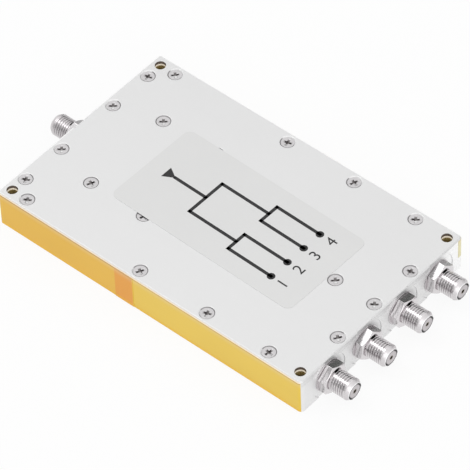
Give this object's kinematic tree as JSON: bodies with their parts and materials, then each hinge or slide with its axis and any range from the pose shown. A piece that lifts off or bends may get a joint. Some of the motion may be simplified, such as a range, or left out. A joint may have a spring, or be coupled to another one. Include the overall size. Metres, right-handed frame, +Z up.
{
  "type": "rf power splitter",
  "caption": "Flat milled aluminium case with a screwed cover, a threaded coaxial input at one end and a row of threaded coaxial outputs at the other, splitting a radio signal equally.",
  "frame": {"origin": "centre of the underside of the case, on the resting face", "axes": "+X from the input end to the output end, +Y towards the far long side, +Z up out of the cover"},
  "size_m": [0.119, 0.0636, 0.0113],
  "materials": {
    "case": "fine bead-blasted and clear coated",
    "cover": "fine bead-blasted and clear coated",
    "label": "satin silver film",
    "tape": "clear amber film",
    "board": "matt laminate",
    "copper": "bright etched copper",
    "ceramic": "matt ceramic",
    "tin": "dull tin",
    "screws": "passivated stainless",
    "shell": "bright turned, passivated stainless",
    "insulator": "waxy fluoropolymer",
    "contact": "gold plated"
  },
  "bodies": {
    "root": {"housing_base": "case", "top_cover": "cover", "face_label": "label", "tape_near_input": "tape", "tape_near_output": "tape", "tape_far_input": "tape", "tape_far_output": "tape", "circuit_board": "board", "copper_traces": "copper", "resistor_bodies": "ceramic", "resistor_caps": "tin", "board_screws": "screws", "cover_screws": "screws", "seat_washers": "shell", "input_shell": "shell", "input_insulator": "insulator", "input_contact": "contact", "output_1_shell": "shell", "output_1_insulator": "insulator", "output_1_contact": "contact", "output_2_shell": "shell", "output_2_insulator": "insulator", "output_2_contact": "contact", "output_3_shell": "shell", "output_3_insulator": "insulator", "output_3_contact": "contact", "output_4_shell": "shell", "output_4_insulator": "insulator", "output_4_contact": "contact"}
  },
  "joints": []
}
